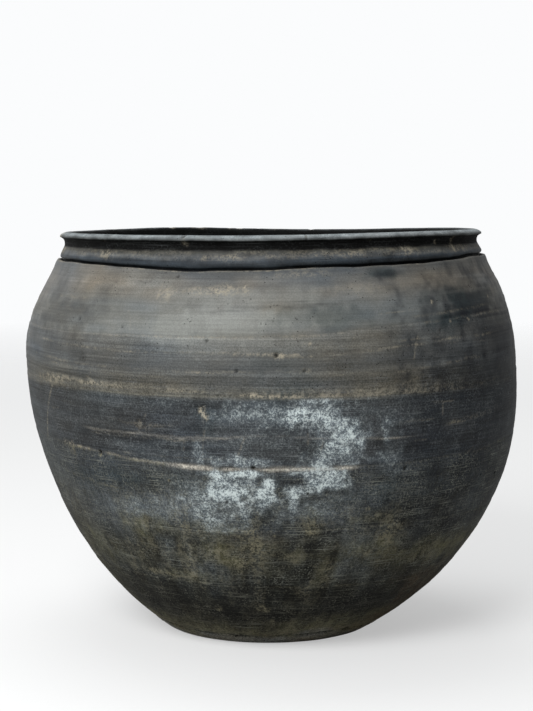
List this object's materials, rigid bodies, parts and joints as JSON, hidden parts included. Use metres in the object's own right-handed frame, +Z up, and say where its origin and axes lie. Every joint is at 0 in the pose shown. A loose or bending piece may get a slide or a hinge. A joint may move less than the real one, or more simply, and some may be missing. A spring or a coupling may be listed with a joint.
{
  "type": "black clay pot",
  "caption": "Wide shouldered jar of smoke-fired black clay with a flat foot, a low collar and a rolled lip, for holding water, grain or a plant.",
  "frame": {"origin": "centre of the flat foot, on the surface that the pot stands on", "axes": "+Z up the pot's own axis, out of the mouth; -Y is the side that faces a viewer; +X to that viewer's right"},
  "size_m": [0.5, 0.5, 0.4],
  "materials": {
    "sooty_foot_clay": "smoke-blackened clay, scraped and matt, with olive and tan earth dust in its scratches",
    "scuffed_black_clay": "reduction-fired black clay, worn to a low satin, with upright dust runs and pale scuffs",
    "blue_black_clay": "reduction-fired blue-black clay, wiped round in fine rings, with a pale mineral bloom",
    "burnished_shoulder_clay": "stone-burnished black clay with a soft graphite sheen",
    "polished_lip_clay": "stone-burnished clay, worn pale and satin on its crest, with small chips",
    "unburnished_inner_clay": "smoke-blackened clay left as wiped, matt and finger-ridged"
  },
  "bodies": {
    "root": {"floor_slab": "sooty_foot_clay", "floor_seam_coil": "unburnished_inner_clay", "lower_bowl": "sooty_foot_clay", "wall_course_1": "scuffed_black_clay", "wall_course_2": "scuffed_black_clay", "wall_course_3": "blue_black_clay", "wall_course_4": "blue_black_clay", "shoulder_course": "burnished_shoulder_clay", "collar_band": "burnished_shoulder_clay", "lip_roll": "polished_lip_clay"}
  },
  "joints": []
}
